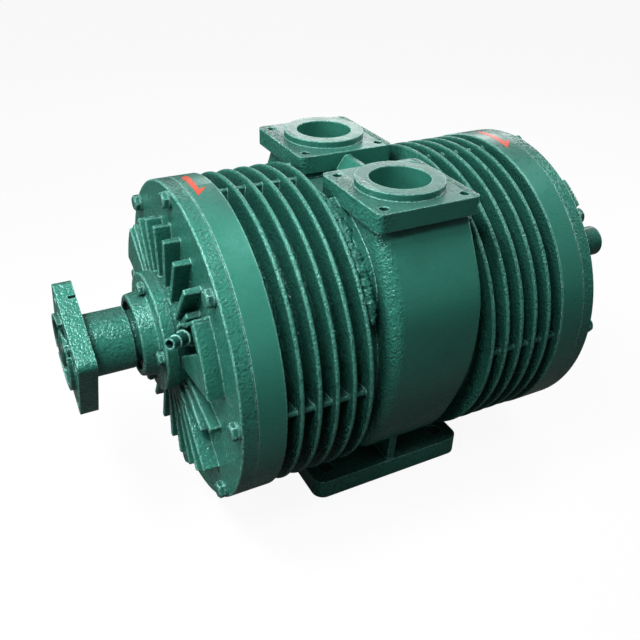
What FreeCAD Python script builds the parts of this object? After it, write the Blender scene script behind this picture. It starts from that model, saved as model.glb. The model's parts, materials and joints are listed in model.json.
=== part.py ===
# Air-cooled sliding-vane vacuum pump for a suction tanker.
#
# A finned cast cylinder lies on two feet. Two square port flanges stand side by side on top, over
# cast air ducts that run down both flanks. Ribbed covers close the ends and carry the bearings of
# an eccentric rotor, which is driven through a square flange on the shaft.
#
# Frame: the shaft runs along X with the drive flange towards -X, +Z is up, and the origin is the
# centre of the foot bolt pattern on the mounting face. The functions work in a drum frame, whose
# X axis is the drum axis and whose x = 0 is the outer face of the front cover. put_out() moves
# each finished piece into the part's frame. Angles start at the near side (-Y) and grow upwards.

import FreeCAD
import Part
import math
import os
from FreeCAD import Vector

# Drum and end covers
drum_radius = 175.0
overall_length = 427.0
axis_height = 188.5
shaft_offset = 21.0
cover_thickness = 16.0
gasket_thickness = 0.5
rim_chamfer = 1.0

# Cylinder casting
bore_radius = 125.0
fin_depth = 26.0
end_flange_thickness = 30.0
fin_drop = 1.0
fin_count = 5
fin_setback = 16.5
fin_block_space = 21.5
fin_root_thickness = 8.0
fin_tip_thickness = 4.6
fin_root_fillet = 5.0
cross_web_drop = 8.0
cross_web_thickness = 6.0
ridge_width = 13.0
ridge_drop = 5.0
ridge_edge = 4.0
ridge_low_angle = 26.0
ridge_high_angle = 72.0

# Ports and the ducts below them
near_port_offset = 79.5
far_port_offset = 85.0
port_face_height = 176.0
port_flange_side = 117.0
port_flange_thickness = 19.0
port_flange_corner = 7.0
port_ring_radius = 46.0
port_ring_height = 7.5
port_bore_radius = 31.5
port_hole_spacing = 92.0
port_hole_radius = 5.0
bridge_drop = 4.5
bridge_top_width = 7.0
bridge_root_width = 27.0
bridge_edge = 3.0
duct_length = 106.0
duct_front_corner = 15.0
duct_rear_corner = 3.0
duct_rear_keel_corner = 15.0
duct_wall = 9.0
duct_neck_inset = 51.0
duct_neck_drop = 12.0
duct_shoulder_inset = 23.0
duct_shoulder_drop = 62.0
duct_outline = [
    (8.0, 80.0), (3.0, 42.0), (4.5, 0.0), (16.0, -46.0), (34.0, -90.0),
    (56.0, -123.0), (98.0, -147.0), (140.0, -160.0),
]
duct_keel = 164.0
duct_roof_wall = 12.0
duct_floor_height = -4.0
crown_rise = 2.0
crown_inset = 8.0
liner_wall = 11.0
window_count = 4
window_width = 15.0
window_span = 46.0
window_reach = 20.0
window_angle = 33.0

# Feet
foot_length = 200.0
foot_reach = 114.0
foot_inner_edge = 22.0
foot_thickness = 24.0
foot_corner = 14.0
foot_hole_radius = 8.75
foot_hole_spacing_x = 156.0
foot_hole_spacing_y = 180.0
gusset_thickness = 9.0
gusset_height = 38.0
pedestal_width = 52.0

# Cover castings
cover_proud = 17.5
housing_radius = 62.0
housing_proud = 21.5
rib_root_thickness = 7.5
rib_front_thickness = 6.0
rib_edge = 1.6
rib_inner_radius = 30.0
upper_rib_inset = 37.5
lower_rib_inset = 33.0
upper_rib_step = 13.3
upper_rib_start = 52.4
upper_rib_count = 7
lower_rib_step = 13.1
lower_rib_start = -44.0
lower_rib_count = 8
side_rib_angle = -17.0
side_rib_inset = 53.0
side_rib_proud = 12.0
side_rib_thickness = 9.0
short_rib_angles = (-30.5, 210.5, 46.0)
short_rib_inset = 69.0
short_rib_proud = 14.0
box_inset = 40.0
box_inner_radius = 40.0
box_low_angle = 7.5
box_high_angle = 39.3
far_box_inset = 32.0
far_box_low_angle = 17.0
box_wall = 9.0
channel_wall = 5.0
lug_low_angle = 49.5
lug_high_angle = 62.0
lug_inner_inset = 26.0
lug_outer_inset = 12.0
lug_proud = 19.0
channel_angle = 34.6
channel_lower_side = 16.0
channel_upper_side = 10.5

# Fasteners
cover_bolt_inset = 10.0
cover_bolt_count = 8
cover_bolt_radius = 5.0
cover_bolt_flats = 16.0
cover_bolt_head = 6.4
cover_bolt_bite = 19.0
cover_washer_radius = 9.0
cover_washer_thickness = 2.2
cap_bolt_circle = 53.0
cap_bolt_count = 4
cap_bolt_radius = 4.0
cap_bolt_flats = 13.0
cap_bolt_head = 5.3
cap_bolt_bite = 14.0
cap_washer_radius = 7.0
cap_washer_thickness = 2.0
thread_gap = 0.1
bolt_hole_gap = 0.7

# Bearings, caps and seals
journal_radius = 25.0
bearing_outer_radius = 45.0
bearing_width = 20.0
bearing_depth = 14.0
inner_track_radius = 31.0
outer_track_radius = 40.0
roller_length = 15.0
roller_count = 13
rolling_gap = 0.05
cage_gap = 0.1
cage_thickness = 3.0
cap_radius = 64.0
cap_flange_thickness = 12.5
cap_boss_radius = 44.0
cap_boss_flare = 1.5
cap_boss_fillet = 5.0
cap_spot_face = 8.5
cap_boss_length = 17.7
rear_cap_boss_length = 12.0
cap_spigot_wall = 6.0
seal_bore_radius = 37.5
seal_depth = 4.0
seal_width = 10.0
inner_seal_radius = 38.0
inner_seal_width = 7.0
seal_gap = 0.05
passage_gap = 1.5

# Rotor, shaft and vanes
rotor_clearance = 0.3
rotor_seat_radius = 33.0
shaft_shoulder_radius = 30.0
drive_journal_radius = 20.0
vane_count = 5
vane_thickness = 8.0
vane_height = 66.0
vane_side_gap = 0.15
slot_offset = 25.0
slot_floor = 28.0
vane_lift = 4.8
first_vane_angle = 54.0
lock_ring_thickness = 4.0
lock_ring_wall = 5.0

# Drive flange
plate_side = 104.0
plate_corner = 8.0
plate_thickness = 18.4
plate_turn = 16.5
plate_hole_radius = 5.5
plate_hole_circle = 56.5
plate_slot_width = 3.6
plate_slot_length = 8.0
plate_slot_depth = 4.0
plate_slot_place = 27.0
pilot_radius = 40.0
pilot_wall = 6.0
pilot_height = 5.0
pilot_notch = 6.0
pilot_notch_angle = 27.5
pilot_gap_low = 41.0
pilot_gap_high = 75.0
hub_radius = 33.0
hub_length = 45.0
sleeve_radius = 27.5
sleeve_length = 41.7
nut_recess_radius = 29.5
nut_recess_depth = 14.0
nut_flats = 46.0
nut_thickness = 13.0
nut_thread_radius = 15.0
nut_washer_radius = 26.0
nut_washer_thickness = 4.0
key_width = 12.0
key_height = 8.0
key_in_shaft = 5.0
key_length = 56.0
key_inset = 8.0

# Oil fittings
nipple_root_angle = 23.0
nipple_lean_angle = 25.0
nipple_tilt = 45.0
nipple_boss_radius = 12.0
nipple_boss_root = 8.0
nipple_boss_length = 12.0
nipple_thread_radius = 6.0
nipple_bore_radius = 3.95
nipple_flats = 17.0
nipple_hexagon = 6.0
nipple_collar_radius = 8.5
nipple_collar = 9.0
nipple_neck_radius = 7.0
nipple_neck = 13.5
nipple_tip_radius = 5.75
nipple_tip = 11.5
spanner_radius = 11.5
fitting_bite = 12.0
plug_inset = 43.0
plug_boss_radius = 20.0
plug_boss_height = 20.0
plug_head_radius = 17.0
plug_head = 27.0
plug_socket_flats = 14.0
plug_socket_depth = 12.0
plug_thread_radius = 12.0

# Values that follow from the sizes above
middle = overall_length / 2
casing_start = cover_thickness + gasket_thickness
casing_end = overall_length - casing_start
block_start = middle - duct_length / 2
block_end = middle + duct_length / 2
flange_edge = casing_start + end_flange_thickness
first_fin = flange_edge + fin_setback
fin_pitch = (block_start - fin_block_space - first_fin) / (fin_count - 1)
rotor_radius = bore_radius - shaft_offset - rotor_clearance
rotor_start = cover_thickness + rotor_clearance
rotor_end = overall_length - rotor_start
bearing_start = -bearing_depth
bearing_end = bearing_start + bearing_width
cap_face = -housing_proud - cap_flange_thickness
plate_back = bearing_start - sleeve_length - hub_length
plate_front = plate_back - plate_thickness
roller_pitch_radius = (inner_track_radius + outer_track_radius) / 2
roller_radius = (outer_track_radius - inner_track_radius) / 2 - rolling_gap
flange_bottom = port_face_height - port_flange_thickness
fin_radius = drum_radius - fin_drop
barrel_radius = fin_radius - fin_depth
cover_bolt_circle = drum_radius - cover_bolt_inset
box_radius = drum_radius - box_inset
plug_distance = drum_radius - plug_inset
nipple_top = nipple_hexagon + nipple_collar + nipple_neck + nipple_tip

os.makedirs("parts", exist_ok=True)


def outward(angle, distance=1.0):
    """A point or direction square to the drum axis, at an angle from the near side."""
    turn = math.radians(angle)
    return Vector(0, -distance * math.cos(turn), distance * math.sin(turn))


def tube(x1, x2, outer, inner=0.0, y=0.0, z=0.0):
    """A round bar or tube along X."""
    solid = Part.makeCylinder(outer, x2 - x1, Vector(x1, y, z), Vector(1, 0, 0))
    if inner > 0:
        hole = Part.makeCylinder(inner, x2 - x1 + 2, Vector(x1 - 1, y, z), Vector(1, 0, 0))
        solid = solid.cut(hole)
    return solid


def turned(profile, z=0.0):
    """A solid of revolution about the line y = 0, z = z, from (x, radius) points."""
    points = [Vector(x, 0, z + r) for x, r in profile]
    points.append(points[0])
    face = Part.Face(Part.makePolygon(points))
    return face.revolve(Vector(0, 0, z), Vector(1, 0, 0), 360)


def sector(r1, r2, angle1, angle2, x1, x2):
    """A slice of a ring about the drum axis."""
    half = (angle1 + angle2) / 2
    outer = Part.Arc(outward(angle1, r2), outward(half, r2), outward(angle2, r2)).toShape()
    inner = Part.Arc(outward(angle2, r1), outward(half, r1), outward(angle1, r1)).toShape()
    side1 = Part.makeLine(outward(angle2, r2), outward(angle2, r1))
    side2 = Part.makeLine(outward(angle1, r1), outward(angle1, r2))
    face = Part.Face(Part.Wire([outer, side1, inner, side2]))
    face.translate(Vector(x1, 0, 0))
    return face.extrude(Vector(x2 - x1, 0, 0))


def cast_edge(edge, x_tip, r_tip):
    """Whether an edge of a standing rib is one of its rounded outer edges."""
    box = edge.BoundBox
    long_edge = box.XMax < x_tip + 0.01 and box.YMax > r_tip - 0.01
    end_edge = box.YMin > r_tip - 0.01 and box.XLength > 1
    return long_edge or end_edge


def radial_bar(x_root, x_tip, root, tip, r1, r2, angle, shift=0.0):
    """A tapered bar that stands along X and runs outwards, as a cast rib does."""
    points = [
        Vector(x_root, r1, shift - root / 2),
        Vector(x_tip, r1, shift - tip / 2),
        Vector(x_tip, r1, shift + tip / 2),
        Vector(x_root, r1, shift + root / 2),
    ]
    points.append(points[0])
    bar = Part.Face(Part.makePolygon(points)).extrude(Vector(0, r2 - r1, 0))
    bar = bar.makeFillet(rib_edge, [e for e in bar.Edges if cast_edge(e, x_tip, r2)])
    bar.rotate(Vector(0, 0, 0), Vector(1, 0, 0), 180 - angle)
    return bar


def hexagon(x1, x2, flats, y=0.0, z=0.0, turn=0.0):
    """A hexagonal bar along X."""
    reach = flats / math.sqrt(3)
    points = []
    for i in range(7):
        a = math.radians(60 * i + turn)
        points.append(Vector(x1, y + reach * math.cos(a), z + reach * math.sin(a)))
    return Part.Face(Part.makePolygon(points)).extrude(Vector(x2 - x1, 0, 0))


def chamfered_head(x_seat, x_top, flats, y, z, turn=0.0):
    """A bolt head or nut whose outer corners are turned off by a cone."""
    head = hexagon(x_seat, x_top, flats, y, z, turn)
    reach = flats / math.sqrt(3)
    height = x_top - x_seat
    sign = 1 if height > 0 else -1
    start = x_top - sign * (reach + 1.2 - flats / 2)
    low = Vector(min(start, x_seat), y, z)
    base = Part.makeCylinder(reach + 0.2, abs(start - x_seat), low, Vector(1, 0, 0))
    tip = abs(x_top - start)
    cone = Part.makeCone(reach + 0.2, flats / 2 - 1.0, tip, Vector(start, y, z), Vector(sign, 0, 0))
    return head.common(base.fuse(cone))


def around(count, radius, first=0.0, z=0.0):
    """Evenly spaced (y, z) places on a circle."""
    places = []
    for i in range(count):
        p = outward(first + 360.0 * i / count, radius)
        places.append((p.y, p.z + z))
    return places


def to_rear(shape):
    """The mirror image of a front piece at the rear end."""
    return shape.mirror(Vector(middle, 0, 0), Vector(1, 0, 0))


def united(shapes):
    return shapes[0].multiFuse(shapes[1:]).removeSplitter()


def put_out(name, shape):
    """Moves a piece from the drum frame into the part's frame and writes its STEP file."""
    piece = shape.copy()
    piece.translate(Vector(-middle, 0, axis_height))
    piece.exportStep("parts/" + name + ".step")


def barrel():
    """The plain barrel with its two end flanges, turned in one piece."""
    profile = [(casing_start, 1.0), (casing_start, drum_radius), (flange_edge - rim_chamfer, drum_radius)]
    profile += [(flange_edge, drum_radius - rim_chamfer), (flange_edge, barrel_radius)]
    mirrored = [(overall_length - x, r) for x, r in reversed(profile)]
    return turned(profile + mirrored)


def arc_through(points):
    """An arc through three (x, radius) points."""
    return Part.Arc(*[Vector(x, 0, r) for x, r in points]).toShape()


def cast_fin(x):
    """One round fin with a full radius at its tip and wide fillets at its root."""
    root = fin_root_thickness / 2
    tip = fin_tip_thickness / 2
    fillet = min(fin_root_fillet, (fin_pitch - fin_root_thickness) / 2 - 0.2)
    low = barrel_radius - 1.0
    flank = fin_radius - tip
    bend = 0.29 * fillet
    left = [(x - root - fillet, barrel_radius), (x - root - bend, barrel_radius + bend)]
    left.append((x - root, barrel_radius + fillet))
    right = [(2 * x - u, r) for u, r in reversed(left)]
    corners = [left[-1], (x - tip, flank), (x + tip, flank), right[0], right[-1]]
    corners += [(right[-1][0], low), (left[0][0], low), left[0]]
    p = [Vector(u, 0, r) for u, r in corners]
    edges = [arc_through(left), Part.makeLine(p[0], p[1])]
    edges.append(arc_through([corners[1], (x, fin_radius), corners[2]]))
    edges += [Part.makeLine(p[2], p[3]), arc_through(right)]
    edges += [Part.makeLine(p[4], p[5]), Part.makeLine(p[5], p[6]), Part.makeLine(p[6], p[7])]
    return Part.Face(Part.Wire(edges)).revolve(Vector(0, 0, 0), Vector(1, 0, 0), 360)


def fin_groups():
    """Both groups of fins, from the end flanges towards the duct block."""
    fins = [cast_fin(first_fin + i * fin_pitch) for i in range(fin_count)]
    return fins + [to_rear(fin) for fin in fins]


def cross_webs():
    """Short webs that tie the fins together at the four quarters."""
    stop = first_fin + (fin_count - 1) * fin_pitch
    inner = barrel_radius - 3
    webs = []
    for angle in (0, 90, 180, 270):
        web = Part.makeBox(stop - flange_edge, drum_radius - cross_web_drop - inner, cross_web_thickness)
        web.translate(Vector(flange_edge, inner, -cross_web_thickness / 2))
        web = web.makeFillet(cross_web_thickness / 3, [e for e in web.Edges if e.BoundBox.XLength > 1])
        web.rotate(Vector(0, 0, 0), Vector(1, 0, 0), 180 - angle)
        webs.append(web)
        webs.append(to_rear(web))
    return webs


def duct_skin(shrink=0.0):
    """One half of the duct's outer skin on the near side, from the port down to the keel."""
    neck = (duct_neck_inset, port_face_height - duct_neck_drop)
    shoulder = (duct_shoulder_inset, port_face_height - duct_shoulder_drop)
    half = [(drum_radius - shrink - inset, z) for inset, z in [neck, shoulder] + duct_outline]
    points = [Vector(0, -y, z) for y, z in half]
    keel = Vector(0, 0, -duct_keel)
    points.append(keel)
    points += [Vector(0, y, z) for y, z in reversed(half)]
    curve = Part.BSplineCurve()
    curve.interpolate(points)
    curve.segment(curve.FirstParameter, curve.parameter(keel))
    return curve.toShape(), points[0], keel


def is_skin_edge(edge):
    """Whether an edge follows a free curve, such as the duct's outer skin."""
    return isinstance(edge.Curve, Part.BSplineCurve)


def duct_half(port_offset):
    """The near half of the block. Its rear corner is sharp at the port and grows soft towards the keel."""
    skin, top, keel = duct_skin()
    crown = barrel_radius + crown_rise
    inner = port_offset - port_ring_radius
    points = [
        keel,
        Vector(0, 0, crown),
        Vector(0, crown_inset - inner, crown),
        Vector(0, -inner, top.z),
        top,
    ]
    face = Part.Face(Part.Wire([skin, *Part.makePolygon(points).Edges]))
    face.translate(Vector(block_start, 0, 0))
    half = face.extrude(Vector(duct_length, 0, 0))
    rear = [e for e in half.Edges if is_skin_edge(e) and e.BoundBox.XMin > block_end - 0.01]
    half = half.makeFillet(duct_rear_corner, duct_rear_keel_corner, rear)
    front = [e for e in half.Edges if is_skin_edge(e) and e.BoundBox.XMax < block_start + 0.01]
    return half.makeFillet(duct_front_corner, front)


def duct_block():
    """The smooth block between the fin groups, with rounded corners, that holds both ducts."""
    far = duct_half(far_port_offset).mirror(Vector(0, 0, 0), Vector(0, 1, 0))
    return duct_half(near_port_offset).fuse(far)


def port_place(side):
    """Where a port stands across the drum: side is -1 for the near port and 1 for the far one."""
    return -near_port_offset if side < 0 else far_port_offset


def duct_space(side):
    """The cored air passage below one port."""
    skin, top, keel = duct_skin(duct_wall)
    lid = Part.makePolygon([keel, Vector(0, 0, top.z), top])
    face = Part.Face(Part.Wire([skin, *lid.Edges]))
    length = duct_length - 2 * duct_wall
    face.translate(Vector(middle - length / 2, 0, 0))
    space = face.extrude(Vector(length, 0, 0))
    inner = abs(port_place(side)) - port_bore_radius
    height = flange_bottom - duct_roof_wall - duct_floor_height
    corner = Vector(middle - length / 2, -inner - drum_radius, duct_floor_height)
    space = space.common(Part.makeBox(length, drum_radius, height, corner))
    space = space.cut(tube(casing_start, casing_end, bore_radius + liner_wall))
    if side > 0:
        space = space.mirror(Vector(0, 0, 0), Vector(0, 1, 0))
    return space


def duct_windows(side):
    """Windows through the cylinder wall, from one duct into the working space."""
    pitch = (duct_length - 2 * duct_wall) / window_count
    angle = window_angle if side < 0 else 180 - window_angle
    windows = []
    for i in range(window_count):
        x = middle + (i - (window_count - 1) / 2) * pitch
        block = Part.makeBox(window_width, 2 * window_reach, window_span)
        block.translate(Vector(x - window_width / 2, bore_radius - window_reach, -window_span / 2))
        block.rotate(Vector(0, 0, 0), Vector(1, 0, 0), 180 - angle)
        windows.append(block)
    return windows


def port_flange(side):
    """A square flange with rounded corners and a raised sealing ring."""
    half = port_flange_side / 2
    y = port_place(side)
    corner = Vector(middle - half, y - half, flange_bottom)
    plate = Part.makeBox(port_flange_side, port_flange_side, port_flange_thickness, corner)
    plate = plate.makeFillet(port_flange_corner, [e for e in plate.Edges if e.BoundBox.ZLength > 1])
    base = Vector(middle, y, flange_bottom)
    ring = Part.makeCylinder(port_ring_radius, port_flange_thickness + port_ring_height, base)
    return plate.fuse(ring)


def port_cuts(side):
    """The port bore and its four tapped holes."""
    y = port_place(side)
    low = flange_bottom - duct_roof_wall - 5.0
    depth = port_face_height + port_ring_height + 1 - low
    cuts = [Part.makeCylinder(port_bore_radius, depth, Vector(middle, y, low))]
    half = port_hole_spacing / 2
    for dx in (-half, half):
        for dy in (-half, half):
            at = Vector(middle + dx, y + dy, flange_bottom - 1)
            cuts.append(Part.makeCylinder(port_hole_radius, port_flange_thickness + 2, at))
    return cuts


def shoulder_ridges():
    """The rounded ridges that lead from the last front fin into the duct block, on both flanks."""
    top = drum_radius - ridge_drop
    inner = barrel_radius - 2
    low = ridge_low_angle
    high = ridge_high_angle
    crest = [outward(high, top), outward((low + high) / 2, top), outward(low + 12.0, top - 3.0)]
    crest += [outward(low + 5.0, top - 11.0), outward(low, barrel_radius)]
    curve = Part.BSplineCurve()
    curve.interpolate(crest)
    middle_angle = (low + high) / 2
    back = Part.Arc(outward(low, inner), outward(middle_angle, inner), outward(high, inner)).toShape()
    ends = [Part.makeLine(crest[-1], outward(low, inner)), Part.makeLine(outward(high, inner), crest[0])]
    face = Part.Face(Part.Wire([curve.toShape(), ends[0], back, ends[1]]))
    start = block_start - ridge_width
    face.translate(Vector(start, 0, 0))
    near = face.extrude(Vector(ridge_width + 1.0, 0, 0))
    crest_edges = [e for e in near.Edges if is_skin_edge(e) and e.BoundBox.XMax < start + 0.01]
    near = near.makeFillet(ridge_edge, crest_edges)
    return [near, near.mirror(Vector(0, 0, 0), Vector(0, 1, 0))]


def port_bridge():
    """The wedge-shaped web of metal that ties the two port flanges together."""
    gap = near_port_offset + far_port_offset - port_flange_side
    start = -near_port_offset + port_flange_side / 2 - 1
    top = port_face_height - bridge_drop
    profile = [
        Vector(middle - bridge_root_width / 2, start, flange_bottom),
        Vector(middle - bridge_top_width / 2, start, top),
        Vector(middle + bridge_top_width / 2, start, top),
        Vector(middle + bridge_root_width / 2, start, flange_bottom),
    ]
    profile.append(profile[0])
    web = Part.Face(Part.makePolygon(profile)).extrude(Vector(0, gap + 2, 0))
    ridge = [e for e in web.Edges if e.BoundBox.ZMin > top - 0.01 and e.BoundBox.YLength > 1]
    return web.makeFillet(bridge_edge, ridge)


def foot(side):
    """One foot plate with rounded outer corners and a gusset up to the duct block."""
    low = -axis_height
    width = foot_reach - foot_inner_edge
    corner = Vector(middle - foot_length / 2, foot_inner_edge, low)
    plate = Part.makeBox(foot_length, width, foot_thickness, corner)
    edges = []
    for e in plate.Edges:
        if e.BoundBox.ZLength > 1 and e.BoundBox.YMin > foot_reach - 1:
            edges.append(e)
    plate = plate.makeFillet(foot_corner, edges)
    top = low + foot_thickness
    points = [
        Vector(0, foot_inner_edge, top - 2),
        Vector(0, foot_reach - 3, top - 2),
        Vector(0, foot_reach, top + gusset_height),
        Vector(0, foot_inner_edge, -barrel_radius + 6),
    ]
    points.append(points[0])
    gusset = Part.Face(Part.makePolygon(points)).extrude(Vector(gusset_thickness, 0, 0))
    gusset.translate(Vector(middle - gusset_thickness / 2, 0, 0))
    length = duct_length - 2 * duct_front_corner
    pedestal = Part.makeBox(length, pedestal_width, axis_height - barrel_radius + 8)
    pedestal.translate(Vector(middle - length / 2, foot_inner_edge, low))
    whole = plate.fuse([gusset, pedestal])
    if side < 0:
        whole = whole.mirror(Vector(0, 0, 0), Vector(0, 1, 0))
    return whole


def foot_holes():
    holes = []
    for dx in (-foot_hole_spacing_x / 2, foot_hole_spacing_x / 2):
        for dy in (-foot_hole_spacing_y / 2, foot_hole_spacing_y / 2):
            at = Vector(middle + dx, dy, -axis_height - 1)
            holes.append(Part.makeCylinder(foot_hole_radius, foot_thickness + 2, at))
    return holes


def cylinder_casing():
    solids = [barrel(), duct_block(), port_bridge()] + fin_groups() + cross_webs() + shoulder_ridges()
    solids += [port_flange(-1), port_flange(1), foot(-1), foot(1)]
    casing = united(solids)
    cuts = [tube(casing_start - 1, casing_end + 1, bore_radius)]
    for side in (-1, 1):
        cuts.append(duct_space(side))
        cuts += duct_windows(side)
        cuts += port_cuts(side)
    cuts += foot_holes()
    hole_end = casing_start + cover_bolt_bite + 3
    for y, z in around(cover_bolt_count, cover_bolt_circle):
        hole = tube(casing_start - 1, hole_end, cover_bolt_radius + thread_gap, 0, y, z)
        cuts += [hole, to_rear(hole)]
    return casing.cut(cuts)


def cover_ribs():
    """The fans of cast ribs above and below the bearing housing."""
    root = rib_root_thickness
    front = rib_front_thickness
    inner = rib_inner_radius
    ribs = []
    for i in range(upper_rib_count):
        angle = upper_rib_start + i * upper_rib_step
        ribs.append(radial_bar(1, -cover_proud, root, front, inner, drum_radius - upper_rib_inset, angle))
    for i in range(lower_rib_count):
        angle = lower_rib_start - i * lower_rib_step
        ribs.append(radial_bar(1, -cover_proud, root, front, inner, drum_radius - lower_rib_inset, angle))
    wide = side_rib_thickness
    for angle in (side_rib_angle, 180 - side_rib_angle):
        ribs.append(radial_bar(1, -side_rib_proud, wide, wide, inner, drum_radius - side_rib_inset, angle))
    for angle in short_rib_angles:
        ribs.append(radial_bar(1, -short_rib_proud, root, front, inner, drum_radius - short_rib_inset, angle))
    return ribs


def cast_box(outer, low, high):
    """A raised box on the cover, with rounded front edges."""
    box = sector(box_inner_radius, outer, low, high, -cover_proud, 1)
    return box.makeFillet(rib_edge, [e for e in box.Edges if e.BoundBox.XMax < -cover_proud + 0.01])


def oil_box():
    """The raised box beside the housing, with an open channel for the oil nipple."""
    box = cast_box(box_radius, box_low_angle, box_high_angle)
    depth = cover_proud + 1
    width = channel_lower_side + channel_upper_side + 30
    run = box_radius - box_wall
    channel = Part.makeBox(depth, run, width, Vector(-cover_proud - 1, 0, -width + channel_lower_side))
    channel.rotate(Vector(0, 0, 0), Vector(1, 0, 0), 180 - channel_angle)
    shift = -channel_upper_side - channel_wall / 2
    upper_wall = radial_bar(
        1, -cover_proud, channel_wall, channel_wall - 1, rib_inner_radius, box_radius, channel_angle, shift
    )
    return box.cut(channel).fuse(upper_wall)


def nipple_root():
    """Where the nipple's axis leaves the corner between the cover and the bearing housing."""
    return outward(nipple_root_angle, housing_radius) + Vector(0, 0, shaft_offset)


def nipple_direction():
    """The way in which the nipple leans out."""
    tilt = math.radians(nipple_tilt)
    return outward(nipple_lean_angle, math.sin(tilt)) + Vector(-math.cos(tilt), 0, 0)


def along_nipple(start, end, radius):
    """A round bar on the nipple's axis."""
    direction = nipple_direction()
    return Part.makeCylinder(radius, end - start, nipple_root() + direction * start, direction)


def rear_oil_parts():
    """What only the rear cover has: its near oil box, the plug's boss and a cast lug, at the front end."""
    box = cast_box(box_radius, box_low_angle, box_high_angle)
    p = outward(channel_angle, plug_distance)
    boss = tube(-plug_boss_height, 1, plug_boss_radius, 0, p.y, p.z)
    inner = drum_radius - lug_inner_inset
    outer = drum_radius - lug_outer_inset
    lug = sector(inner, outer, lug_low_angle, lug_high_angle, -lug_proud, 1)
    return [box, boss, lug.makeFillet(4.0, [e for e in lug.Edges if e.BoundBox.XMax < 0])]


def end_cover(front):
    """One end cover: disc, bearing housing, ribs and oil boxes."""
    disc = turned([
        (0, 0), (0, drum_radius - rim_chamfer), (rim_chamfer, drum_radius),
        (cover_thickness, drum_radius), (cover_thickness, 0),
    ])
    far_outer = drum_radius - far_box_inset
    far_box = cast_box(far_outer, 180 - box_high_angle, 180 - far_box_low_angle)
    solids = [disc, tube(-housing_proud, 1, housing_radius, 0, 0, shaft_offset), far_box] + cover_ribs()
    if front:
        solids += [oil_box(), along_nipple(-nipple_boss_root, nipple_boss_length, nipple_boss_radius)]
        start = nipple_boss_length - fitting_bite - 1
        cuts = [
            along_nipple(start, nipple_boss_length + 1, nipple_thread_radius + thread_gap),
            along_nipple(nipple_boss_length, nipple_boss_length + nipple_top, spanner_radius),
        ]
    else:
        solids += rear_oil_parts()
        p = outward(channel_angle, plug_distance)
        depth = fitting_bite - plug_boss_height + 1
        cuts = [tube(-plug_boss_height - 1, depth, plug_thread_radius + thread_gap, 0, p.y, p.z)]
    cover = united(solids)
    z = shaft_offset
    cuts += [
        tube(-housing_proud - 1, bearing_end, bearing_outer_radius, 0, 0, z),
        tube(bearing_end - 1, cover_thickness + 1, inner_seal_radius, 0, 0, z),
    ]
    for y, z in around(cover_bolt_count, cover_bolt_circle):
        cuts.append(tube(-1, cover_thickness + 1, cover_bolt_radius + bolt_hole_gap, 0, y, z))
    for y, z in around(cap_bolt_count, cap_bolt_circle, 0, shaft_offset):
        end = cap_bolt_bite - housing_proud + 2
        cuts.append(tube(-housing_proud - 1, end, cap_bolt_radius + thread_gap, 0, y, z))
    return cover.cut(cuts)


def cover_gasket():
    ring = tube(cover_thickness, casing_start, drum_radius, bore_radius)
    holes = []
    for y, z in around(cover_bolt_count, cover_bolt_circle):
        holes.append(tube(cover_thickness - 1, casing_start + 1, cover_bolt_radius + bolt_hole_gap, 0, y, z))
    return ring.cut(holes)


def spring_washer(x_seat, thickness, outer, bolt_radius, y, z):
    """A split washer under a bolt head that looks towards -X."""
    ring = tube(x_seat - thickness, x_seat, outer, bolt_radius + thread_gap, y, z)
    gap = Part.makeBox(thickness + 2, outer + 2, 1.6, Vector(x_seat - thickness - 1, y, z - 0.8))
    return ring.cut(gap)


def bolt_set(places, x_seat, washer, radius, flats, head, reach):
    """Hexagon bolts on one circle, each on its own washer."""
    bolts = []
    for i, (y, z) in enumerate(places):
        seat = x_seat - washer
        solid = chamfered_head(seat, seat - head, flats, y, z, 17.0 * i)
        bolts.append(solid.fuse(tube(seat, x_seat + reach, radius, 0, y, z)))
    return Part.makeCompound(bolts)


def cover_bolts():
    places = around(cover_bolt_count, cover_bolt_circle)
    reach = casing_start + cover_bolt_bite
    return bolt_set(
        places, 0, cover_washer_thickness, cover_bolt_radius, cover_bolt_flats, cover_bolt_head, reach
    )


def cover_washers():
    rings = []
    for y, z in around(cover_bolt_count, cover_bolt_circle):
        rings.append(spring_washer(0, cover_washer_thickness, cover_washer_radius, cover_bolt_radius, y, z))
    return Part.makeCompound(rings)


def cap_bolts():
    places = around(cap_bolt_count, cap_bolt_circle, 0, shaft_offset)
    reach = cap_flange_thickness + cap_bolt_bite
    return bolt_set(
        places, cap_face, cap_washer_thickness, cap_bolt_radius, cap_bolt_flats, cap_bolt_head, reach
    )


def cap_washers():
    rings = []
    for y, z in around(cap_bolt_count, cap_bolt_circle, 0, shaft_offset):
        rings.append(spring_washer(cap_face, cap_washer_thickness, cap_washer_radius, cap_bolt_radius, y, z))
    return Part.makeCompound(rings)


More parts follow.
